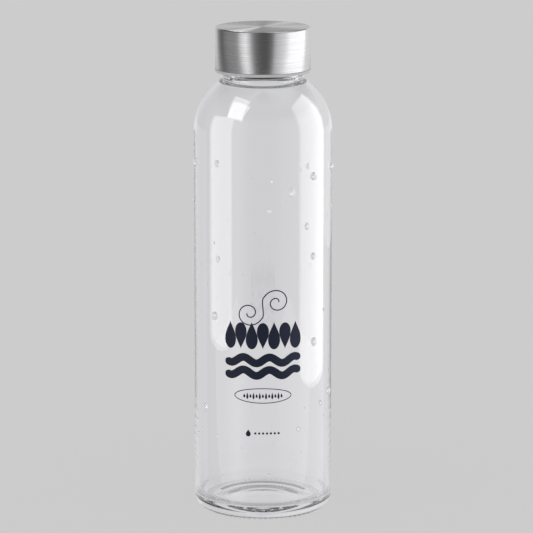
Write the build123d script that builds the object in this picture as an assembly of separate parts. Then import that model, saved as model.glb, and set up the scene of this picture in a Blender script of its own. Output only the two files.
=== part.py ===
from build123d import *

import math
import os

# A half-litre glass water bottle with a brushed-steel screw cap, one STEP file for each piece.
# Millimetres, +Z up. The bottle stands on z = 0 with its axis on Z, and its front faces -Y.

# Overall sizes
TOTAL_HEIGHT = 220.0
BODY_RADIUS = 31.0
WALL = 2.0

# Base
HEEL_RADIUS = 6.8
BEARING_INNER_RADIUS = 21.6
PUNT_HEIGHT = 3.4
FLOOR_EDGE_Z = 5.4
FLOOR_CROWN = 1.6
FLOOR_FILLET = 5.0
KNURL_COUNT = 68
KNURL_DEPTH = 0.38
KNURL_RADIUS = 0.9
KNURL_START_RADIUS = 22.8
KNURL_END_RADIUS = 27.0

# Shoulder and neck
SHOULDER_Z = 173.0
SHOULDER_RADIUS = 28.7
NECK_RADIUS = 18.1
NECK_JOIN_FILLET = 1.2
BEAD_RADIUS = 18.45
BEAD_BOTTOM_Z = 198.3
BEAD_TOP_Z = 201.6
BEAD_ROUND = 0.4
FINISH_RADIUS = 17.5
BORE_RADIUS = 14.9
LEDGE_Z = 193.6
LEDGE_RADIUS = 18.2
LEDGE_INNER_ROUND = 0.8
LEDGE_OUTER_ROUND = 1.2
LIP_Z = 215.95
LIP_ROUND = 1.25

# Screw thread, right hand, one start, six turns to the inch
THREAD_LEAD = 4.233
THREAD_TURNS = 1.5
THREAD_ROOT_OVERLAP = 0.35
THREAD_END_RAMP_DEG = 22.0
RAMP_BLOCK = (7.6, 4.0, 3.4)
RAMP_BLOCK_SHIFT = 1.8
GLASS_THREAD_Z = 207.0
GLASS_THREAD_CREST = 18.7
GLASS_THREAD_WIDTHS = (2.2, 1.0)
CAP_THREAD_ROOT = 19.1
CAP_THREAD_CREST = 17.95
CAP_THREAD_WIDTHS = (1.8, 0.8)

# Cap
SHELL_RADIUS = 21.3
SHELL_THICKNESS = 0.5
SHELL_BOTTOM_Z = 201.2
SHELL_TOP_ROUND = 0.7
SHELL_HEM_ROUND = 0.15
FLANGE_RADIUS = 21.5
FLANGE_BOTTOM_Z = 199.9
FLANGE_ROUND = 0.45
FLANGE_TOP_ROUND = 0.2
LINER_GAP = 0.05
LINER_TOP_Z = TOTAL_HEIGHT - SHELL_THICKNESS - LINER_GAP
LINER_WALL_RADIUS = 20.35
LINER_TOP_ROUND = 0.6
RIB_COUNT = 24
RIB_WIDTH = 0.9
RIB_ROOT = 0.3
RIB_SHORTER = 1.0
RIB_CLEARANCE = 0.01
CEILING_Z = 217.8
CEILING_ROUND = 0.3
LEAD_IN = 0.6
GASKET_BOTTOM_Z = 216.0
GASKET_OUTER_RADIUS = 18.6
GASKET_INNER_RADIUS = 13.2
GASKET_ROUND = 0.4


def half_section(*edges):
    """A closed outline of (radius, height) edges as a face in the XZ plane."""
    return Plane.XZ * make_face(Wire(edges))


def turned(face):
    return revolve(face, Axis.Z)


def outline(points):
    """A closed outline of straight edges through (radius, height) points."""
    ends = points[1:] + points[:1]
    return [Line(a, b) for a, b in zip(points, ends)]


def rounded(face, corners):
    """Rounds the face's corners nearest to each (radius, height), by the radius given with it."""
    for place, size in corners:
        target = Vector(place[0], 0, place[1])
        corner = min(face.vertices(), key=lambda v: (Vector(v) - target).length)
        face = fillet(corner, size)
    return face


def dome(radius, edge_z, middle_z):
    """Half of a shallow dome's arc, level where it meets the axis."""
    return TangentArc((0, middle_z), (radius, edge_z), tangent=(1, 0))


def glass_outside():
    """The bottle's outside as a solid body of turning, with no hollow."""
    centre_radius = BODY_RADIUS - SHOULDER_RADIUS
    rise = math.degrees(math.acos((NECK_RADIUS - centre_radius) / SHOULDER_RADIUS))
    shoulder = CenterArc((centre_radius, SHOULDER_Z), SHOULDER_RADIUS, 0, rise)
    neck_foot = (NECK_RADIUS, SHOULDER_Z + SHOULDER_RADIUS * math.sin(math.radians(rise)))
    bead_foot = (NECK_RADIUS, BEAD_BOTTOM_Z)
    bead_under = (BEAD_RADIUS, BEAD_BOTTOM_Z + BEAD_RADIUS - NECK_RADIUS)
    bead_edge = (BEAD_RADIUS, BEAD_TOP_Z)
    finish_foot = (FINISH_RADIUS, BEAD_TOP_Z)
    lip = (FINISH_RADIUS, LIP_Z)
    face = half_section(
        Line((0, 0), (BODY_RADIUS, 0)),
        Line((BODY_RADIUS, 0), (BODY_RADIUS, SHOULDER_Z)),
        shoulder,
        Line(neck_foot, bead_foot),
        Line(bead_foot, bead_under),
        Line(bead_under, bead_edge),
        Line(bead_edge, finish_foot),
        Line(finish_foot, lip),
        Line(lip, (0, LIP_Z)),
        Line((0, LIP_Z), (0, 0)),
    )
    corners = [
        ((BODY_RADIUS, 0), HEEL_RADIUS),
        (neck_foot, NECK_JOIN_FILLET),
        (bead_under, BEAD_ROUND),
        (bead_edge, BEAD_ROUND),
        (lip, LIP_ROUND),
    ]
    return turned(rounded(face, corners))


def punt():
    """The shallow dome pushed up into the underside."""
    return turned(
        half_section(
            dome(BEARING_INNER_RADIUS, 0, PUNT_HEIGHT),
            Line((0, PUNT_HEIGHT), (0, -1)),
            Line((0, -1), (BEARING_INNER_RADIUS, -1)),
            Line((BEARING_INNER_RADIUS, -1), (BEARING_INNER_RADIUS, 0)),
        )
    )


def hollow():
    """The space inside the glass, from the crowned floor up past the thick ring at the neck's foot."""
    inner_radius = BODY_RADIUS - WALL
    centre_radius = BODY_RADIUS - SHOULDER_RADIUS
    shoulder_radius = SHOULDER_RADIUS - WALL
    rise = math.degrees(math.acos((LEDGE_RADIUS - centre_radius) / shoulder_radius))
    ledge_edge = (LEDGE_RADIUS, SHOULDER_Z + shoulder_radius * math.sin(math.radians(rise)))
    bore_foot = (BORE_RADIUS, LEDGE_Z)
    floor_middle = FLOOR_EDGE_Z + FLOOR_CROWN
    face = half_section(
        dome(inner_radius, FLOOR_EDGE_Z, floor_middle),
        Line((inner_radius, FLOOR_EDGE_Z), (inner_radius, SHOULDER_Z)),
        CenterArc((centre_radius, SHOULDER_Z), shoulder_radius, 0, rise),
        Line(ledge_edge, bore_foot),
        Line(bore_foot, (BORE_RADIUS, LIP_Z + 1)),
        Line((BORE_RADIUS, LIP_Z + 1), (0, LIP_Z + 1)),
        Line((0, LIP_Z + 1), (0, floor_middle)),
    )
    corners = [
        ((inner_radius, FLOOR_EDGE_Z), FLOOR_FILLET),
        (ledge_edge, LEDGE_OUTER_ROUND),
        (bore_foot, LEDGE_INNER_ROUND),
    ]
    return turned(rounded(face, corners))


def knurls():
    """Short radial grooves across the outer part of the bearing ring."""
    length = KNURL_END_RADIUS - KNURL_START_RADIUS
    groove = Rot(0, 90, 0) * Cylinder(KNURL_RADIUS, length)
    height = -(KNURL_RADIUS - KNURL_DEPTH)
    groove = Pos(KNURL_START_RADIUS + length / 2, 0, height) * groove
    step = 360 / KNURL_COUNT
    return [Rot(0, 0, step * (i + 0.5)) * groove for i in range(KNURL_COUNT)]


def thread_end_ramp(angle, inward, height, root, crest):
    """A block that bevels a thread's end, from its root at angle to its crest a little way on."""
    start, stop = math.radians(angle), math.radians(angle + inward * THREAD_END_RAMP_DEG)
    root_point = Vector(root * math.cos(start), root * math.sin(start), height)
    crest_point = Vector(crest * math.cos(stop), crest * math.sin(stop), height)
    along = (crest_point - root_point).normalized()
    outward = Vector(math.cos(start), math.sin(start), 0)
    side = outward if crest > root else -outward
    across = (side - along * side.dot(along)).normalized()
    middle = root_point + along * RAMP_BLOCK_SHIFT + across * (RAMP_BLOCK[1] / 2)
    return Plane(origin=middle, x_dir=along, z_dir=(0, 0, 1)) * Box(*RAMP_BLOCK)


def thread(first_angle, first_height, root, crest, widths):
    """One flight of screw thread with bevelled ends. Its root is sunk a little into the wall."""
    sink = math.copysign(THREAD_ROOT_OVERLAP, root - crest)
    depth = crest - (root + sink)
    path = Helix(THREAD_LEAD, THREAD_LEAD * THREAD_TURNS, root)
    base, top = widths
    corners = [(sink, -base / 2), (sink, base / 2), (sink + depth, top / 2), (sink + depth, -top / 2)]
    plane = Plane(origin=path @ 0, x_dir=(1, 0, 0), z_dir=path % 0)
    section = plane * make_face(Polyline(*corners, close=True))
    flight = sweep(section, path, is_frenet=True)
    turn = 360 * THREAD_TURNS
    rise = THREAD_LEAD * THREAD_TURNS
    flight -= thread_end_ramp(0, 1, 0, root, crest)
    flight -= thread_end_ramp(turn, -1, rise, root, crest)
    return Pos(0, 0, first_height) * Rot(0, 0, first_angle) * flight


def glass_bottle():
    glass_thread = thread(0, GLASS_THREAD_Z, FINISH_RADIUS, GLASS_THREAD_CREST, GLASS_THREAD_WIDTHS)
    glass = glass_outside() + glass_thread
    glass = glass - hollow() - punt()
    return glass - knurls()


def cap_shell():
    """The drawn steel cup, open at the bottom."""
    inner = SHELL_RADIUS - SHELL_THICKNESS
    ceiling = TOTAL_HEIGHT - SHELL_THICKNESS
    face = half_section(
        *outline(
            [
                (0, ceiling),
                (inner, ceiling),
                (inner, SHELL_BOTTOM_Z),
                (SHELL_RADIUS, SHELL_BOTTOM_Z),
                (SHELL_RADIUS, TOTAL_HEIGHT),
                (0, TOTAL_HEIGHT),
            ]
        )
    )
    corners = [
        ((SHELL_RADIUS, TOTAL_HEIGHT), SHELL_TOP_ROUND),
        ((inner, ceiling), SHELL_TOP_ROUND - SHELL_THICKNESS),
        ((SHELL_RADIUS, SHELL_BOTTOM_Z), SHELL_HEM_ROUND),
    ]
    return turned(rounded(face, corners))


def inner_cap():
    """The moulded plastic cap that carries the thread, with the flange that shows under the steel."""
    rib_radius = SHELL_RADIUS - SHELL_THICKNESS - LINER_GAP
    face = half_section(
        *outline(
            [
                (0, CEILING_Z),
                (CAP_THREAD_ROOT, CEILING_Z),
                (CAP_THREAD_ROOT, FLANGE_BOTTOM_Z + LEAD_IN),
                (CAP_THREAD_ROOT + LEAD_IN, FLANGE_BOTTOM_Z),
                (FLANGE_RADIUS, FLANGE_BOTTOM_Z),
                (FLANGE_RADIUS, SHELL_BOTTOM_Z),
                (LINER_WALL_RADIUS, SHELL_BOTTOM_Z),
                (LINER_WALL_RADIUS, LINER_TOP_Z),
                (0, LINER_TOP_Z),
            ]
        )
    )
    corners = [
        ((FLANGE_RADIUS, FLANGE_BOTTOM_Z), FLANGE_ROUND),
        ((FLANGE_RADIUS, SHELL_BOTTOM_Z), FLANGE_TOP_ROUND),
        ((LINER_WALL_RADIUS, LINER_TOP_Z), LINER_TOP_ROUND),
        ((CAP_THREAD_ROOT, CEILING_Z), CEILING_ROUND),
    ]
    liner = turned(rounded(face, corners))
    rib_height = LINER_TOP_Z - RIB_SHORTER - SHELL_BOTTOM_Z
    rib_depth = rib_radius - LINER_WALL_RADIUS + RIB_ROOT
    rib = Box(rib_depth, RIB_WIDTH, rib_height)
    rib = Pos(rib_radius - rib_depth / 2 - RIB_CLEARANCE, 0, SHELL_BOTTOM_Z + rib_height / 2) * rib
    liner += [Rot(0, 0, 360 / RIB_COUNT * i) * rib for i in range(RIB_COUNT)]
    # Half a lead below the glass thread, so that one flight lies midway between the other's turns.
    height = GLASS_THREAD_Z - THREAD_LEAD
    return liner + thread(-180, height, CAP_THREAD_ROOT, CAP_THREAD_CREST, CAP_THREAD_WIDTHS)


def seal_gasket():
    """The flat silicone ring between the inner cap's ceiling and the glass lip."""
    face = half_section(
        *outline(
            [
                (GASKET_INNER_RADIUS, GASKET_BOTTOM_Z),
                (GASKET_OUTER_RADIUS, GASKET_BOTTOM_Z),
                (GASKET_OUTER_RADIUS, CEILING_Z),
                (GASKET_INNER_RADIUS, CEILING_Z),
            ]
        )
    )
    corners = [
        ((GASKET_INNER_RADIUS, GASKET_BOTTOM_Z), GASKET_ROUND),
        ((GASKET_OUTER_RADIUS, GASKET_BOTTOM_Z), GASKET_ROUND),
    ]
    return turned(rounded(face, corners))


PIECES = {
    "glass_bottle": glass_bottle,
    "cap_shell": cap_shell,
    "inner_cap": inner_cap,
    "seal_gasket": seal_gasket,
}


def main():
    os.makedirs("parts", exist_ok=True)
    for name, make in PIECES.items():
        piece = make()
        print(name, "volume", round(piece.volume, 1), "valid", piece.is_valid)
        export_step(piece, f"parts/{name}.step")
    brimful = hollow() & Pos(0, 0, LIP_Z / 2) * Cylinder(BODY_RADIUS, LIP_Z)
    print("brimful capacity, ml:", round(brimful.volume / 1000, 1))


main()
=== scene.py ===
import math

import bpy
import numpy as np
from mathutils import Matrix, Vector


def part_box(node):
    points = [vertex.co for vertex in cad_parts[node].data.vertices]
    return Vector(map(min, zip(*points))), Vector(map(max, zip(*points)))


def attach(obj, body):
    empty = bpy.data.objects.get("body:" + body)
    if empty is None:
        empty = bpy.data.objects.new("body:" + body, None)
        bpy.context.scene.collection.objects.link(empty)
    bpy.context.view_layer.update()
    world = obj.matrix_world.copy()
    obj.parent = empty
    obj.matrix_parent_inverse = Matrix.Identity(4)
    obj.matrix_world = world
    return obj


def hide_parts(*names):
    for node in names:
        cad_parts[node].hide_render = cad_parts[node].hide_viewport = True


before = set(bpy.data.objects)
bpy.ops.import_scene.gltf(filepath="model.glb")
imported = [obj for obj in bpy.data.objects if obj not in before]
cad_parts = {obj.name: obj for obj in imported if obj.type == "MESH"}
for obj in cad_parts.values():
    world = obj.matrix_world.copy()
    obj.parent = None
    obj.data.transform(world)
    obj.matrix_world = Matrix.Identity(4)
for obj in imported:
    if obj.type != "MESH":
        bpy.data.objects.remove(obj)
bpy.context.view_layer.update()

MM = 0.001

# ---------------------------------------------------------------- sizes, in millimetres
# The outer sizes come from the frame; the rest follow the same design as the CAD model, except that
# here the knurls run on a little way up the heel.
glass_low, glass_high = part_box("glass_bottle")
shell_low, shell_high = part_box("cap_shell")
liner_low, liner_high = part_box("inner_cap")
seal_low, seal_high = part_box("seal_gasket")

BODY_R = glass_high[0] / MM
LIP_Z = glass_high[2] / MM
WALL = 2.0
HEEL_R = 6.8
BEARING_R = 21.6
PUNT_Z = 3.4
FLOOR_EDGE_Z = 5.4
FLOOR_CROWN = 1.6
FLOOR_FILLET = 5.0
KNURLS = 68
KNURL_DEPTH = 0.38
KNURL_TOOL_R = 0.9
KNURL_FROM = 22.8
# In radians up the heel: where the knurls end, and over how much they fade out before that.
KNURL_END = 0.62
KNURL_FADE = 0.15

SHOULDER_Z = 173.0
SHOULDER_R = 28.7
NECK_R = 18.1
NECK_FILLET = 1.2
BEAD_R = 18.45
BEAD_LOW = 198.3
BEAD_TOP = 201.6
FINISH_R = 17.5
BORE_R = 14.9
SHELF_R = 18.2
SHELF_Z = 193.6

LEAD = 4.233
TURNS = 1.5
GLASS_THREAD_Z = 207.0
# Half a thread's width at its root and at its crest, and how far it stands out.
GLASS_THREAD = (1.1, 0.5, 1.2)
CAP_THREAD = (0.9, 0.4, 1.15)
# In degrees: how long each end of a thread takes to run out.
THREAD_FADE = 20

SHELL_R = shell_high[0] / MM
SHELL_TOP = shell_high[2] / MM
SHELL_LOW = shell_low[2] / MM
SHELL_T = 0.5
FLANGE_R = liner_high[0] / MM
FLANGE_LOW = liner_low[2] / MM
LINER_TOP = liner_high[2] / MM
LINER_R = 20.35
LINER_BORE = 19.1
CEILING_Z = seal_high[2] / MM
SEAL_LOW = seal_low[2] / MM
SEAL_OUT = seal_high[0] / MM
SEAL_IN = 13.2
RIBS = 24
RIB_HALF_WIDTH = 0.5
RIB_OUT = 0.4


# ---------------------------------------------------------------- outlines, as (radius, height)
def arc(centre, radius, start, end, steps):
    """Points on an arc, from start to end degrees, counter-clockwise positive from +radius."""
    angles = np.radians(np.linspace(start, end, steps + 1))
    return [(centre[0] + radius * math.cos(a), centre[1] + radius * math.sin(a)) for a in angles]


def dome(radius, edge_z, middle_z, steps):
    """A shallow dome from its middle on the axis out to its edge."""
    rise = middle_z - edge_z
    sphere = (radius**2 + rise**2) / (2 * rise)
    half = math.degrees(math.asin(radius / sphere))
    return arc((0, middle_z - sphere), sphere, 90, 90 - half, steps)


def rounded(points, steps=6):
    """The outline with each (r, z, fillet) corner replaced by an arc. A plain (r, z) point stays."""
    out = []
    for i, point in enumerate(points):
        if len(point) == 2:
            out.append(point)
            continue
        corner = np.array(point[:2])
        back = np.array(points[i - 1][:2]) - corner
        ahead = np.array(points[(i + 1) % len(points)][:2]) - corner
        back, ahead = back / np.linalg.norm(back), ahead / np.linalg.norm(ahead)
        half = math.acos(np.clip(back @ ahead, -1, 1)) / 2
        reach = point[2] / math.tan(half)
        middle = corner + (back + ahead) / np.linalg.norm(back + ahead) * point[2] / math.sin(half)
        first, last = corner + back * reach - middle, corner + ahead * reach - middle
        a0, a1 = math.atan2(first[1], first[0]), math.atan2(last[1], last[0])
        sweep = (a1 - a0 + math.pi) % (2 * math.pi) - math.pi
        for k in range(steps + 1):
            a = a0 + sweep * k / steps
            out.append((middle[0] + point[2] * math.cos(a), middle[1] + point[2] * math.sin(a)))
    return out


def column(radius, low, high, step):
    """Closely spaced points up a straight wall, so that a thread can be raised on it."""
    count = max(1, round(abs(high - low) / step))
    return [(radius, low + (high - low) * k / count) for k in range(count + 1)]


# ---------------------------------------------------------------- mesh making
def finish_mesh(name, vertices, faces, material, sharp=32):
    mesh = bpy.data.meshes.new(name)
    mesh.from_pydata([tuple(v) for v in vertices], [], faces)
    mesh.validate()
    mesh.shade_smooth()
    mesh.set_sharp_from_angle(angle=math.radians(sharp))
    mesh.materials.append(material)
    obj = bpy.data.objects.new(name, mesh)
    bpy.context.scene.collection.objects.link(obj)
    return obj


def revolve(name, outline, segments, material, shape=None, sharp=32):
    """A body of turning round Z, in millimetres, closed at the axis or as a ring.

    shape(angle, radius, height) may move the rings' points: it gets and returns numpy arrays.
    """
    on_axis = outline[0][0] == 0
    rings = outline[1:-1] if on_axis else outline
    angle = np.linspace(0, 2 * math.pi, segments, endpoint=False)[None, :]
    radius = np.array([p[0] for p in rings])[:, None] + 0 * angle
    height = np.array([p[1] for p in rings])[:, None] + 0 * angle
    if shape:
        radius, height = shape(angle + 0 * radius, radius, height)
    grid = np.stack([radius * np.cos(angle), radius * np.sin(angle), height], axis=-1) * MM
    vertices = list(grid.reshape(-1, 3))
    faces = []
    count = len(rings)
    for j in range(count - 1 if on_axis else count):
        a, b = j * segments, (j + 1) % count * segments
        for i in range(segments):
            k = (i + 1) % segments
            faces.append((a + i, a + k, b + k, b + i))
    if on_axis:
        first, last = len(vertices), len(vertices) + 1
        vertices.append(np.array([0, 0, outline[0][1]]) * MM)
        vertices.append(np.array([0, 0, outline[-1][1]]) * MM)
        top = (count - 1) * segments
        for i in range(segments):
            k = (i + 1) % segments
            faces.append((first, k, i))
            faces.append((last, top + i, top + k))
    return finish_mesh(name, vertices, faces, material, sharp)


def thread_height(angle, height, first_angle, first_z, half_root, half_crest, depth):
    """How far a screw thread stands out at each point, with its two ends run out smoothly."""
    out = np.zeros_like(height)
    for turn in range(3):
        along = (angle - math.radians(first_angle)) % (2 * math.pi) + 2 * math.pi * turn
        off = np.abs(height - first_z - LEAD * along / (2 * math.pi))
        flank = np.clip((half_root - off) / (half_root - half_crest), 0, 1)
        ends = np.minimum(along, 2 * math.pi * TURNS - along) / math.radians(THREAD_FADE)
        out = np.maximum(out, flank * np.clip(ends, 0, 1) * depth)
    return out


# ---------------------------------------------------------------- materials
class Nodes:
    """A short way to build a material's node tree."""

    def __init__(self, name):
        self.material = bpy.data.materials.new(name)
        self.material.use_nodes = True
        self.tree = self.material.node_tree
        self.tree.nodes.clear()
        self.output = self.add("ShaderNodeOutputMaterial")
        self.shader = self.add("ShaderNodeBsdfPrincipled")
        self.link(self.shader, "BSDF", self.output, "Surface")

    def add(self, kind, **settings):
        node = self.tree.nodes.new(kind)
        for key, value in settings.items():
            if key in node.inputs:
                node.inputs[key].default_value = value
            else:
                setattr(node, key, value)
        return node

    def link(self, source, out, target, into):
        self.tree.links.new(source.outputs[out], target.inputs[into])

    def set(self, **values):
        for key, value in values.items():
            self.shader.inputs[key.replace("_", " ")].default_value = value

    def noise(self, scale, stretch=(1, 1, 1), detail=3.0, roughness=0.5):
        """Noise in the object's own metres. stretch squeezes it along each axis."""
        place = self.add("ShaderNodeTexCoord")
        mapping = self.add("ShaderNodeMapping", Scale=stretch)
        noise = self.add("ShaderNodeTexNoise", Scale=scale, Detail=detail, Roughness=roughness)
        self.link(place, "Object", mapping, "Vector")
        self.link(mapping, "Vector", noise, "Vector")
        return noise

    def ramp(self, source, out, low, high, a=0.3, b=0.7):
        """A colour ramp between two greys or colours."""
        ramp = self.add("ShaderNodeValToRGB")
        stops = ramp.color_ramp.elements
        stops[0].position, stops[1].position = a, b
        stops[0].color = (*low, 1) if isinstance(low, tuple) else (low, low, low, 1)
        stops[1].color = (*high, 1) if isinstance(high, tuple) else (high, high, high, 1)
        self.link(source, out, ramp, "Fac")
        return ramp

    def bump(self, source, out, distance, strength=1.0):
        bump = self.add("ShaderNodeBump", Strength=strength, Distance=distance)
        self.link(source, out, bump, "Height")
        self.link(bump, "Normal", self.shader, "Normal")
        return bump


def glass_material():
    m = Nodes("clear_glass")
    m.set(Base_Color=(1, 1, 1, 1), Roughness=0.0, IOR=1.5, Transmission_Weight=1.0)
    ripple = m.noise(28.0, stretch=(1, 1, 0.35), detail=1.5)
    m.bump(ripple, "Fac", 0.00012, 0.35)
    return m.material


def steel_material(name, on_top):
    """Brushed steel: lines run round the side, or in circles on the top."""
    m = Nodes(name)
    m.set(Base_Color=(0.62, 0.62, 0.63, 1), Metallic=1.0, Roughness=0.3)
    m.set(Anisotropic=0.93 if on_top else 0.9, Anisotropic_Rotation=0.25)
    tangent = m.add("ShaderNodeTangent", direction_type="RADIAL", axis="Z")
    m.link(tangent, "Tangent", m.shader, "Tangent")
    if on_top:
        place = m.add("ShaderNodeTexCoord")
        flat = m.add("ShaderNodeVectorMath", operation="MULTIPLY")
        flat.inputs[1].default_value = (1, 1, 0)
        size = m.add("ShaderNodeVectorMath", operation="LENGTH")
        joined = m.add("ShaderNodeCombineXYZ")
        lines = m.add("ShaderNodeTexNoise", Scale=5200.0, Detail=4.0)
        m.link(place, "Object", flat, 0)
        m.link(flat, "Vector", size, 0)
        m.link(size, "Value", joined, "X")
        m.link(joined, "Vector", lines, "Vector")
    else:
        lines = m.noise(40.0, stretch=(1, 1, 160), detail=5.0, roughness=0.7)
    shade = m.ramp(lines, "Fac", (0.5, 0.5, 0.51), (0.7, 0.7, 0.71))
    m.link(shade, "Color", m.shader, "Base Color")
    rough = m.ramp(lines, "Fac", 0.30, 0.18)
    m.link(rough, "Color", m.shader, "Roughness")
    m.bump(lines, "Fac", 0.00001, 0.4)
    return m.material


def plastic_material():
    m = Nodes("moulded_plastic")
    m.set(Roughness=0.32, IOR=1.49, Subsurface_Weight=0.15, Subsurface_Scale=0.002)
    cloud = m.noise(220.0, detail=4.0)
    shade = m.ramp(cloud, "Fac", (0.60, 0.605, 0.62), (0.66, 0.665, 0.68))
    m.link(shade, "Color", m.shader, "Base Color")
    rough = m.ramp(cloud, "Fac", 0.28, 0.38)
    m.link(rough, "Color", m.shader, "Roughness")
    m.bump(m.noise(3000.0), "Fac", 0.00001, 0.15)
    return m.material


def silicone_material():
    m = Nodes("silicone")
    m.set(Roughness=0.55, IOR=1.41, Subsurface_Weight=0.3, Subsurface_Scale=0.003)
    cloud = m.noise(300.0, detail=3.0)
    shade = m.ramp(cloud, "Fac", (0.78, 0.79, 0.79), (0.84, 0.85, 0.85))
    m.link(shade, "Color", m.shader, "Base Color")
    m.bump(m.noise(2200.0), "Fac", 0.00002, 0.2)
    return m.material


def ink_material():
    m = Nodes("screen_print_ink")
    m.set(Roughness=0.5, Specular_IOR_Level=0.3)
    grain = m.noise(2500.0, detail=3.0)
    shade = m.ramp(grain, "Fac", (0.008, 0.012, 0.034), (0.012, 0.017, 0.043))
    m.link(shade, "Color", m.shader, "Base Color")
    rough = m.ramp(grain, "Fac", 0.45, 0.6)
    m.link(rough, "Color", m.shader, "Roughness")
    return m.material


def water_material():
    m = Nodes("water")
    m.set(Base_Color=(1, 1, 1, 1), Roughness=0.0, IOR=1.333, Transmission_Weight=1.0)
    return m.material


# ---------------------------------------------------------------- the bottle's glass
def glass_outline():
    """From the middle of the underside, out and up the outside, over the lip and down the inside."""
    inner = BODY_R - WALL
    shoulder_c = (BODY_R - SHOULDER_R, SHOULDER_Z)
    outer_rise = math.degrees(math.acos((NECK_R - shoulder_c[0]) / SHOULDER_R))
    inner_rise = math.degrees(math.acos((SHELF_R - shoulder_c[0]) / (SHOULDER_R - WALL)))
    underside = dome(BEARING_R, 0, PUNT_Z, 10)
    bearing = [(r, 0.0) for r in (22.2, KNURL_FROM - 0.02, KNURL_FROM, 23.3, 23.8)]
    heel = arc((BODY_R - HEEL_R, HEEL_R), HEEL_R, -90, 0, 24)
    shoulder = arc(shoulder_c, SHOULDER_R, 0, outer_rise, 26)
    neck = rounded(
        [
            shoulder[-2],
            (*shoulder[-1], NECK_FILLET),
            (NECK_R, BEAD_LOW),
            (BEAD_R, BEAD_LOW + BEAD_R - NECK_R, 0.4),
            (BEAD_R, BEAD_TOP, 0.4),
            (FINISH_R, BEAD_TOP),
        ]
    )
    finish = column(FINISH_R, BEAD_TOP + 0.2, LIP_Z - 1.3, 0.26)
    lip = rounded([finish[-1], (FINISH_R, LIP_Z, 1.25), (BORE_R, LIP_Z, 1.1), (BORE_R, LIP_Z - 3)])
    vault = arc(shoulder_c, SHOULDER_R - WALL, inner_rise, 0, 26)
    flare = rounded([lip[-1], (BORE_R, SHELF_Z, 0.8), (*vault[0], 1.2), vault[2]], 8)
    floor = dome(inner, FLOOR_EDGE_Z, FLOOR_EDGE_Z + FLOOR_CROWN, 12)[::-1]
    bottom = rounded([vault[-1], (*floor[0], FLOOR_FILLET), floor[4]], 10)
    outside = underside + bearing + heel + shoulder[1:-1] + neck[1:] + finish
    inside = lip[1:-1] + flare[1:-1] + vault[2:] + bottom[1:-1] + floor[4:]
    return outside + inside


def shape_glass(angle, radius, height):
    """Raises the thread on the finish, and presses the knurls into the bearing ring and the heel."""
    in_finish = (radius > FINISH_R - 0.01) & (height > BEAD_TOP + 0.5) & (height < LIP_Z - 1.2)
    thread = thread_height(angle, height, 0, GLASS_THREAD_Z, *GLASS_THREAD)
    radius = radius + np.where(in_finish, thread, 0)
    pitch = 2 * math.pi / KNURLS
    across = (angle / pitch - np.round(angle / pitch)) * pitch * radius
    cut = np.sqrt(np.maximum(KNURL_TOOL_R**2 - across**2, 0)) - (KNURL_TOOL_R - KNURL_DEPTH)
    from_heel = np.arctan2(radius - (BODY_R - HEEL_R), HEEL_R - height)
    under = (height < 2.0) & (radius > KNURL_FROM - 0.01)
    depth = np.where(under, np.maximum(cut, 0) * np.clip((KNURL_END - from_heel) / KNURL_FADE, 0, 1), 0)
    lean = np.maximum(from_heel, 0)
    return radius - depth * np.sin(lean), height + depth * np.cos(lean)


def make_glass():
    glass = revolve("bottle_glass", glass_outline(), KNURLS * 6, glass_material(), shape_glass)
    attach(glass, "bottle")
    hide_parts("glass_bottle")
    return glass


# ---------------------------------------------------------------- the cap
def make_shell():
    inner = SHELL_R - SHELL_T
    ceiling = SHELL_TOP - SHELL_T
    outline = rounded(
        [
            (0, ceiling),
            (inner, ceiling, 0.2),
            (inner, SHELL_LOW),
            (SHELL_R - 0.15, SHELL_LOW),
            (SHELL_R, SHELL_LOW + 0.15),
            (SHELL_R, SHELL_TOP, 0.7),
            (0, SHELL_TOP),
        ]
    )
    shell = revolve("steel_shell", outline, 360, steel_material("brushed_steel_side", False), sharp=50)
    shell.data.materials.append(steel_material("brushed_steel_top", True))
    for face in shell.data.polygons:
        if face.normal.z > 0.75:
            face.material_index = 1
    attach(shell, "cap")
    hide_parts("cap_shell")
    return shell


def shape_liner(angle, radius, height):
    """Raises the thread inside the inner cap and the ribs outside it."""
    inside = np.abs(radius - LINER_BORE) < 0.01
    thread = thread_height(angle, height, -180, GLASS_THREAD_Z - LEAD, *CAP_THREAD)
    radius = radius - np.where(inside, thread, 0)
    outside = (np.abs(radius - LINER_R) < 0.01) & (height > SHELL_LOW + 0.1) & (height < LINER_TOP - 0.9)
    pitch = 2 * math.pi / RIBS
    across = np.abs(angle / pitch - np.round(angle / pitch)) * pitch * radius
    return radius + np.where(outside & (across < RIB_HALF_WIDTH), RIB_OUT, 0), height


def make_liner():
    outline = rounded(
        [
            (0, CEILING_Z),
            (LINER_BORE, CEILING_Z, 0.3),
            *column(LINER_BORE, CEILING_Z - 1, FLANGE_LOW + 0.7, 0.25),
            (LINER_BORE + 0.6, FLANGE_LOW),
            (FLANGE_R, FLANGE_LOW, 0.45),
            (FLANGE_R, SHELL_LOW, 0.2),
            (LINER_R, SHELL_LOW),
            (LINER_R, SHELL_LOW + 0.12),
            *column(LINER_R, SHELL_LOW + 0.15, LINER_TOP - 1.0, 3.0),
            (LINER_R, LINER_TOP - 0.9),
            (LINER_R, LINER_TOP, 0.6),
            (0, LINER_TOP),
        ]
    )
    liner = revolve("threaded_inner_cap", outline, 360, plastic_material(), shape_liner)
    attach(liner, "cap")
    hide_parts("inner_cap")


def make_seal():
    outline = rounded(
        [(SEAL_IN, CEILING_Z), (SEAL_IN, SEAL_LOW, 0.4), (SEAL_OUT, SEAL_LOW, 0.4), (SEAL_OUT, CEILING_Z)]
    )
    seal = revolve("silicone_gasket", outline, 180, silicone_material())
    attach(seal, "seal")
    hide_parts("seal_gasket")


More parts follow.
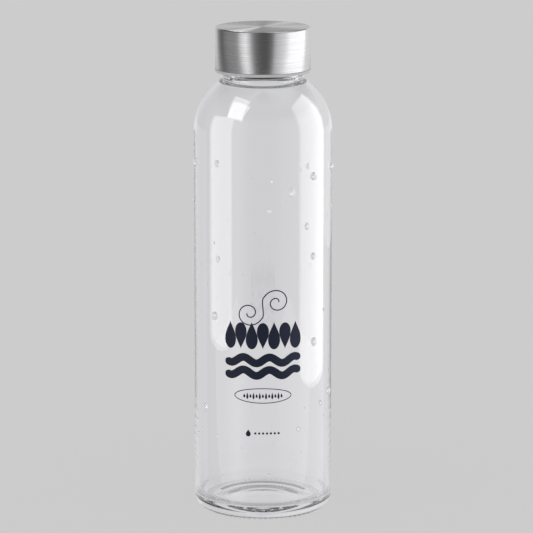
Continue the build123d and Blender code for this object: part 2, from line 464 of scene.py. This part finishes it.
# ---------------------------------------------------------------- the print on the front
INK_OUT = 0.03
INK_IN = -0.02
INK_STEP = 0.7
FLOURISH_Z = 98.4
WAVE_HEIGHTS = (74.6, 68.9)
OVAL_Z = 58.4
MARK_Z = 41.2


def smooth_path(points, closed, steps=10):
    """A Catmull-Rom line through the points."""
    knots = [np.array(p, float) for p in points]
    count = len(knots)
    line = []
    for i in range(count if closed else count - 1):
        near = [i + k for k in (-1, 0, 1, 2)]
        p = [knots[j % count if closed else min(max(j, 0), count - 1)] for j in near]
        for t in np.linspace(0, 1, steps, endpoint=False):
            a, b, c = 2 * p[1], p[2] - p[0], 2 * p[0] - 5 * p[1] + 4 * p[2] - p[3]
            line.append((a + b * t + c * t**2 + (3 * p[1] - p[0] - 3 * p[2] + p[3]) * t**3) / 2)
    if not closed:
        line.append(knots[-1])
    return np.array(line)


def ribbon(path, widths, closed):
    """A thin band of ink along a path of (sideways, height), wrapped on the bottle's front."""
    path = np.array(path, float)
    ahead = np.roll(path, -1, axis=0) - np.roll(path, 1, axis=0)
    if not closed:
        ahead[0], ahead[-1] = path[1] - path[0], path[-1] - path[-2]
    normal = np.stack([-ahead[:, 1], ahead[:, 0]], axis=1) / np.linalg.norm(ahead, axis=1)[:, None]
    widths = np.broadcast_to(widths, len(path))
    across = max(1, math.ceil(widths.max() / INK_STEP))
    shares = np.linspace(-0.5, 0.5, across + 1)
    section = [(s, BODY_R + INK_OUT) for s in shares] + [(s, BODY_R + INK_IN) for s in shares[::-1]]
    vertices = []
    for point, side, width in zip(path, normal, widths):
        for share, radius in section:
            flat = point + side * share * width
            turn = flat[0] / BODY_R
            vertices.append((radius * math.sin(turn) * MM, -radius * math.cos(turn) * MM, flat[1] * MM))
    ring, count = len(section), len(path)
    faces = []
    for j in range(count if closed else count - 1):
        a, b = j * ring, (j + 1) % count * ring
        for i in range(ring):
            k = (i + 1) % ring
            faces.append((a + i, b + i, b + k, a + k))
    if not closed:
        faces.append(tuple(range(ring)))
        faces.append(tuple(reversed(range((count - 1) * ring, count * ring))))
    return vertices, faces


def print_piece(name, bands, ink):
    vertices, faces = [], []
    for more, joined in bands:
        faces += [tuple(len(vertices) + i for i in face) for face in joined]
        vertices += more
    piece = finish_mesh(name, vertices, faces, ink, sharp=40)
    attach(piece, "bottle")


def drop_band(middle, low, high, fullest):
    """A solid water drop, round below and pointed above. low above high turns it upside down."""
    belly = 0.34
    turns = np.linspace(0, math.pi / 2, 12)
    place = np.concatenate([belly * (1 - np.cos(turns)), np.linspace(belly, 1, 22)[1:]])
    round_part = np.sqrt(np.clip(1 - ((belly - place) / belly) ** 2, 0, 1))
    point_part = np.cos(np.clip((place - belly) / (1 - belly), 0, 1) * math.pi / 2) ** 1.2
    widths = np.maximum(fullest * np.where(place < belly, round_part, point_part), 0.05)
    return ribbon([(middle, low + (high - low) * p) for p in place], widths, False)


def oval_band(middle, height, half_width, half_height, line):
    angles = np.linspace(0, 2 * math.pi, 72, endpoint=False)
    ring = [(middle + half_width * math.cos(a), height + half_height * math.sin(a)) for a in angles]
    return ribbon(ring, line, True)


def wave_band(middle, rise, length, cycles, thickness):
    """A thick wavy band with rounded ends."""
    place = np.linspace(-1, 1, 97)
    path = [(p * length / 2, middle + rise * math.sin(math.pi * cycles * p)) for p in place]
    ends = np.sqrt(np.clip((1 - np.abs(place)) / 0.07, 0, 1))
    return ribbon(path, np.maximum(thickness * ends, 0.05), False)


def make_print():
    """A generic motif in place of the print: a flourish, drops, waves, an oval and a small mark."""
    ink = ink_material()
    turns = np.radians(np.linspace(-560, -30, 27))
    radii = np.linspace(0.9, 6.4, 27)
    curl = [(-6.6 + r * math.cos(a), r * 0.95 * math.sin(a)) for r, a in zip(radii, turns)]
    lean = math.radians(22)
    cosine, sine = math.cos(lean), math.sin(lean)
    scroll = [(x * cosine - z * sine, x * sine + z * cosine) for x, z in curl]
    scroll += [(-x, -z) for x, z in reversed(scroll)]
    line = smooth_path([(x, FLOURISH_Z + z) for x, z in scroll], False, 6)
    print_piece("print_flourish", [ribbon(line, 0.5, False)], ink)
    drops = []
    for i in range(7):
        middle = -15 + 5 * i
        low, high = (79.6, 92.0) if i % 2 == 0 else (91.6, 79.8)
        drops.append(drop_band(middle, low, high, 5.4))
    print_piece("print_drops", drops, ink)
    print_piece("print_waves", [wave_band(z, 1.35, 35, 3, 3.6) for z in WAVE_HEIGHTS], ink)
    oval = [oval_band(0, OVAL_Z, 12.9, 3.3, 0.36)]
    for i in range(13):
        reach = 1.5 if i % 2 else 0.9
        oval.append(drop_band(1.4 * (i - 6), OVAL_Z - reach, OVAL_Z + reach, 0.95))
    print_piece("print_oval", oval, ink)
    mark = [drop_band(-6.6, 39.7, 42.9, 2.2)]
    for i in range(7):
        mark.append(oval_band(-3.4 + 1.75 * i, MARK_Z, 0.26, 0.26, 0.5))
    print_piece("print_mark", mark, ink)


# ---------------------------------------------------------------- water drops on the glass
# The larger ones, read off the photo: (angle from the front, height, width, length), in degrees and mm.
LARGE_DROPS = [
    (24, 150, 3.4, 4.5),
    (46, 156, 3.0, 3.6),
    (-41, 162, 2.3, 3.2),
    (5, 142, 2.2, 3.0),
    (-40, 119, 2.0, 3.0),
    (46, 120, 2.6, 3.2),
    (-44, 93, 2.9, 4.0),
    (47, 81, 2.7, 4.1),
    (-56, 50, 2.3, 4.4),
    (56, 52, 2.2, 3.0),
    (31, 42, 2.5, 2.8),
    (5, 22, 1.8, 1.8),
    (71, 56, 2.8, 3.4),
    (39, 134, 2.3, 3.2),
    (40, 161, 1.8, 2.7),
    (-77, 160, 2.4, 3.6),
    (81, 158, 2.4, 3.4),
    (-69, 36, 2.2, 2.8),
]
SMALL_DROPS = 95
SMALL_DROP_HEIGHTS = (14, 171)
# No small drop lies on the print: within this angle of the front and between these heights.
PRINT_ANGLE = 36
PRINT_LOW, PRINT_HIGH = 36, 108
# How far a drop stands out, as a share of its width.
LARGE_FULLNESS = 0.42
SMALL_FULLNESS = 0.36
DROP_GAP = 0.01


def drop_lens(angle, height, width, length, rise, lean):
    """A closed lens of water, its flat underside a hair clear of the glass."""
    rings, around = 7, 18
    base = BODY_R + DROP_GAP
    lens = [(0.0, 0.0, rise)]
    for k in range(1, rings + 1):
        share = math.sin(k / rings * math.pi / 2)
        for i in range(around):
            a = 2 * math.pi * i / around
            side = share * math.cos(a) * width / 2
            up = share * math.sin(a) * length / 2 - lean * (1 - share) * length
            lens.append((side, up, rise * math.sqrt(max(1 - share**2, 0))))
    lens = [(side, up, 0.0 if i > (rings - 1) * around else out) for i, (side, up, out) in enumerate(lens)]
    turn = math.radians(angle)
    vertices = []
    for side, up, out in lens:
        x = (base + out) * math.sin(turn) + side * math.cos(turn)
        y = -(base + out) * math.cos(turn) + side * math.sin(turn)
        vertices.append((x * MM, y * MM, (height + up) * MM))
    faces = [(0, 1 + i, 1 + (i + 1) % around) for i in range(around)]
    for k in range(rings - 1):
        a, b = 1 + k * around, 1 + (k + 1) * around
        faces += [(a + i, b + i, b + (i + 1) % around, a + (i + 1) % around) for i in range(around)]
    faces.append(tuple(reversed(range(1 + (rings - 1) * around, 1 + rings * around))))
    return vertices, faces


def make_droplets():
    rng = np.random.default_rng(11)
    places = [(*drop, LARGE_FULLNESS) for drop in LARGE_DROPS]
    while len(places) < len(LARGE_DROPS) + SMALL_DROPS:
        angle, height = rng.uniform(-180, 180), rng.uniform(*SMALL_DROP_HEIGHTS)
        width = 0.55 + 1.1 * rng.random() ** 3
        over_print = abs(angle) < PRINT_ANGLE and PRINT_LOW < height < PRINT_HIGH
        apart = all(abs(angle - p[0]) > 6 or abs(height - p[1]) > 5 for p in places)
        if apart and not over_print:
            places.append((angle, height, width, width * rng.uniform(1.0, 1.5), SMALL_FULLNESS))
    vertices, faces = [], []
    for angle, height, width, length, fullness in places:
        more, joined = drop_lens(angle, height, width, length, fullness * width, rng.uniform(0, 0.08))
        faces += [tuple(len(vertices) + i for i in face) for face in joined]
        vertices += more
    drops = finish_mesh("water_droplets", vertices, faces, water_material(), sharp=60)
    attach(drops, "bottle")
    return drops


bottle_glass = make_glass()
steel_shell = make_shell()
make_liner()
make_seal()
make_print()
droplets = make_droplets()
bottle_glass.visible_diffuse = False
droplets.visible_diffuse = False


# ---------------------------------------------------------------- camera, floor and light
LENS = 234.85
CAMERA_PLACE = (0.0016, -1.539, 0.4144)
CAMERA_DOWN = 11.15


def make_camera():
    data = bpy.data.cameras.new("camera")
    data.lens = LENS
    data.sensor_width = 36
    camera = bpy.data.objects.new("camera", data)
    camera.location = CAMERA_PLACE
    camera.rotation_euler = (math.radians(90 - CAMERA_DOWN), 0, 0)
    bpy.context.scene.collection.objects.link(camera)
    bpy.context.scene.camera = camera


def make_floor():
    """A plain pale floor. It shows neither in reflections nor through glass: make_world serves those."""
    m = Nodes("pale_floor")
    m.set(Roughness=1.0, Specular_IOR_Level=0.0)
    grain = m.noise(3.0, detail=2.0)
    shade = m.ramp(grain, "Fac", 0.798, 0.802)
    m.link(shade, "Color", m.shader, "Base Color")
    size, low = 30.0, -5e-5
    corners = [(-size, -size, low), (size, -size, low), (size, size, low), (-size, size, low)]
    floor = finish_mesh("studio_floor", corners, [(0, 1, 2, 3)], m.material)
    floor.visible_glossy = False
    floor.visible_transmission = False


BACKDROP = 0.604
ROOM = 0.755
# Added to the red, green and blue of what shows through the glass.
GLASS_TINT = (0.0, 0.0, 0.03)
# The ring and the cards below are no real studio. The ring's brightness was worked out from pixel levels
# along a row of the photo's cap and then adjusted. The cards are placed so
# that the front view looks like the photo.
# What reflections see round the bottle: (azimuth, brightness). 0 is the front and + is to the right.
STUDIO_RING = [
    (-180, 0.60),
    (-150, 0.73),
    (-136, 0.36),
    (-122, 0.17),
    (-116, 0.17),
    (-106, 0.28),
    (-92, 0.35),
    (-72, 0.38),
    (-64, 0.50),
    (-56, 0.98),
    (-43, 1.35),
    (-33, 0.80),
    (-26, 0.40),
    (-18, 0.23),
    (-6, 0.14),
    (10, 0.12),
    (22, 0.22),
    (28, 0.45),
    (32, 0.70),
    (48, 0.92),
    (58, 1.08),
    (70, 1.60),
    (121, 1.75),
    (127, 1.05),
    (150, 0.88),
    (180, 0.60),
]
# How the ring fades with height: (height, share). Height is 0 straight down and 1 straight up.
RING_BY_HEIGHT = [(0.66, 1.0), (0.75, 0.2), (0.84, 0.2), (0.93, 0.8)]
# What shows through the glass: (height, brightness).
THROUGH_GLASS = [(0.08, 0.40), (0.19, 0.64), (0.72, 0.64), (0.80, 0.20), (0.95, 0.20)]


class WorldNodes:
    """A short way to build the world's node tree."""

    def __init__(self):
        world = bpy.data.worlds.new("studio")
        bpy.context.scene.world = world
        world.use_nodes = True
        world.cycles.sampling_method = "NONE"
        self.tree = world.node_tree
        self.tree.nodes.clear()
        self.path = self.tree.nodes.new("ShaderNodeLightPath")
        place = self.tree.nodes.new("ShaderNodeTexCoord")
        self.direction = self.tree.nodes.new("ShaderNodeSeparateXYZ")
        self.tree.links.new(place.outputs["Generated"], self.direction.inputs[0])

    def math(self, operation, a, b=0.0):
        node = self.tree.nodes.new("ShaderNodeMath")
        node.operation = operation
        for socket, value in zip(node.inputs, (a, b)):
            if isinstance(value, float):
                socket.default_value = value
            else:
                self.tree.links.new(value, socket)
        return node.outputs[0]

    def mix(self, factor, a, b):
        node = self.tree.nodes.new("ShaderNodeMix")
        node.data_type = "FLOAT"
        for name, value in (("Factor", factor), ("A", a), ("B", b)):
            if isinstance(value, float):
                node.inputs[name].default_value = value
            else:
                self.tree.links.new(value, node.inputs[name])
        return node.outputs["Result"]

    def ramp(self, value, stops, top):
        """Brightness along stops of (place from 0 to 1, brightness), up to top."""
        node = self.tree.nodes.new("ShaderNodeValToRGB")
        elements = node.color_ramp.elements
        while len(elements) < len(stops):
            elements.new(0.5)
        for element, (place, light) in zip(elements, stops):
            element.position = place
        for element, (place, light) in zip(elements, stops):
            element.color = (light / top, light / top, light / top, 1)
        self.tree.links.new(value, node.inputs[0])
        return self.math("MULTIPLY", node.outputs["Color"], float(top))


def make_world():
    """The light by kind of ray: a backdrop for the camera, the ring for reflections, and room light for
    rough surfaces. Rays through glass get THROUGH_GLASS."""
    w = WorldNodes()
    forward = w.math("MULTIPLY", w.direction.outputs["Y"], -1.0)
    azimuth = w.math("ARCTAN2", w.direction.outputs["X"], forward)
    around = w.math("ADD", w.math("DIVIDE", azimuth, 2 * math.pi), 0.5)
    ring = w.ramp(around, [(a / 360 + 0.5, light) for a, light in STUDIO_RING], 2.0)
    height = w.math("ADD", w.math("MULTIPLY", w.direction.outputs["Z"], 0.5), 0.5)
    ring = w.math("MULTIPLY", ring, w.ramp(height, RING_BY_HEIGHT, 1.0))
    through = w.ramp(height, THROUGH_GLASS, 1.0)
    seen = w.mix(w.path.outputs["Is Glossy Ray"], BACKDROP, ring)
    seen = w.mix(w.path.outputs["Is Transmission Ray"], seen, through)
    indirect = w.math("GREATER_THAN", w.path.outputs["Diffuse Depth"], 0.5)
    strength = w.mix(indirect, seen, ROOM)
    background = w.tree.nodes.new("ShaderNodeBackground")
    tint = w.tree.nodes.new("ShaderNodeCombineXYZ")
    for channel, more in zip("XYZ", GLASS_TINT):
        share = w.math("MULTIPLY", w.path.outputs["Is Transmission Ray"], more)
        w.tree.links.new(w.math("ADD", share, 1.0), tint.inputs[channel])
    w.tree.links.new(tint.outputs[0], background.inputs["Color"])
    output = w.tree.nodes.new("ShaderNodeOutputWorld")
    w.tree.links.new(strength, background.inputs["Strength"])
    w.tree.links.new(background.outputs[0], output.inputs["Surface"])


def card_material(name, left, right, width):
    """Light that changes evenly from a card's left edge to its right. What is behind shows too."""
    material = bpy.data.materials.new(name)
    material.use_nodes = True
    tree = material.node_tree
    tree.nodes.clear()
    place = tree.nodes.new("ShaderNodeTexCoord")
    sideways = tree.nodes.new("ShaderNodeSeparateXYZ")
    light = tree.nodes.new("ShaderNodeMapRange")
    limits = {"From Min": -width / 2, "From Max": width / 2, "To Min": left, "To Max": right}
    for socket, value in limits.items():
        light.inputs[socket].default_value = value
    glow = tree.nodes.new("ShaderNodeEmission")
    clear = tree.nodes.new("ShaderNodeBsdfTransparent")
    both = tree.nodes.new("ShaderNodeAddShader")
    output = tree.nodes.new("ShaderNodeOutputMaterial")
    tree.links.new(place.outputs["Object"], sideways.inputs[0])
    tree.links.new(sideways.outputs["X"], light.inputs["Value"])
    tree.links.new(light.outputs["Result"], glow.inputs["Strength"])
    tree.links.new(glow.outputs[0], both.inputs[0])
    tree.links.new(clear.outputs[0], both.inputs[1])
    tree.links.new(both.outputs[0], output.inputs["Surface"])
    return material


def light_card(name, azimuth, elevation, distance, outline, left, right, receivers):
    """A flat light for the receivers' reflections only. It faces the middle of the bottle's base.

    The outline gives (sideways, up, corner radius) in millimetres, as seen from the bottle's front.
    """
    flat = rounded(outline)
    width = (max(p[0] for p in flat) - min(p[0] for p in flat)) * MM
    card = finish_mesh(
        name,
        [(x * MM, y * MM, 0) for x, y in flat],
        [tuple(range(len(flat)))],
        card_material(name, left, right, width),
    )
    turn, lift = math.radians(azimuth), math.radians(elevation)
    outward = Vector((math.cos(lift) * math.sin(turn), -math.cos(lift) * math.cos(turn), math.sin(lift)))
    sideways = Vector((math.cos(turn), math.sin(turn), 0))
    axes = Matrix((sideways, outward.cross(sideways), outward)).transposed()
    card.matrix_world = Matrix.Translation(outward * distance * MM) @ axes.to_4x4()
    card.visible_camera = False
    card.visible_diffuse = False
    card.visible_transmission = False
    card.visible_shadow = False
    group = bpy.data.collections.new(name + "_receivers")
    for piece in receivers:
        group.objects.link(piece)
    card.light_linking.receiver_collection = group


def upright(low, high, half_width, corner=12):
    """The outline of an upright card, from its lowest to its highest edge."""
    left, right = -half_width, half_width
    return [(left, low, corner), (right, low, corner), (right, high, corner), (left, high, corner)]


# Each side light shows twice in the glass wall: in its outer face and, a little nearer the axis, in its
# inner one. The echo cards stand in for the second.
GLASSY = [bottle_glass, droplets]
light_card("right_light", 89.4, 0, 262, upright(3.5, 440, 132), 1.5, 2.6, GLASSY)
light_card("right_echo", 85.5, 0, 262, upright(6.5, 432, 131), 1.4, 2.4, GLASSY)
left_light = [(-145, 5, 12), (140, 5, 12), (140, 360, 12), (-145, 300, 40)]
light_card("left_light", -74, 0, 358, left_light, 2.0, 1.9, GLASSY)
left_echo = [(-140, 8, 12), (130, 8, 12), (130, 355, 12), (-140, 300, 40)]
light_card("left_echo", -70, 0, 358, left_echo, 1.9, 1.8, GLASSY)
light_card("left_rim", -140, 0, 1000, upright(-500, 130, 640, 120), 0.15, 0.5, GLASSY)
light_card("right_rim", 148, 0, 1000, upright(-60, 130, 560, 60), 0.45, 0.2, GLASSY)
high_light = [(-148, -270, 6), (275, -234, 6), (151, 290, 6), (-278, 260, 6)]
light_card("high_light", -57, 49.5, 1000, high_light, 4.5, 4.5, GLASSY)
high_echo = [(-225, -190, 6), (228, -220, 6), (228, 240, 6), (-230, 230, 6)]
light_card("high_echo", -52.2, 45, 1000, high_echo, 4.5, 4.5, GLASSY)
streak = [(-50, -60, 6), (50, -60, 6), (50, 60, 6), (-50, 60, 6)]
light_card("cap_streak", -170, 45, 1000, streak, 8.0, 8.0, [steel_shell])
light_card("drop_light", 15, 0, 300, upright(-60, 160, 130), 13.0, 13.0, [droplets])
table = [(-400, 40, 20), (400, 40, 20), (400, 420, 20), (-400, 420, 20)]
light_card("table_glow", 0, -90, -1, table, 0.8, 0.8, GLASSY)
make_camera()
make_floor()
make_world()
bpy.context.scene.view_settings.view_transform = "Standard"
# Light runs far inside thick glass before it gets out.
bpy.context.scene.cycles.max_bounces = 32
bpy.context.scene.cycles.glossy_bounces = 32
bpy.context.scene.cycles.transmission_bounces = 32
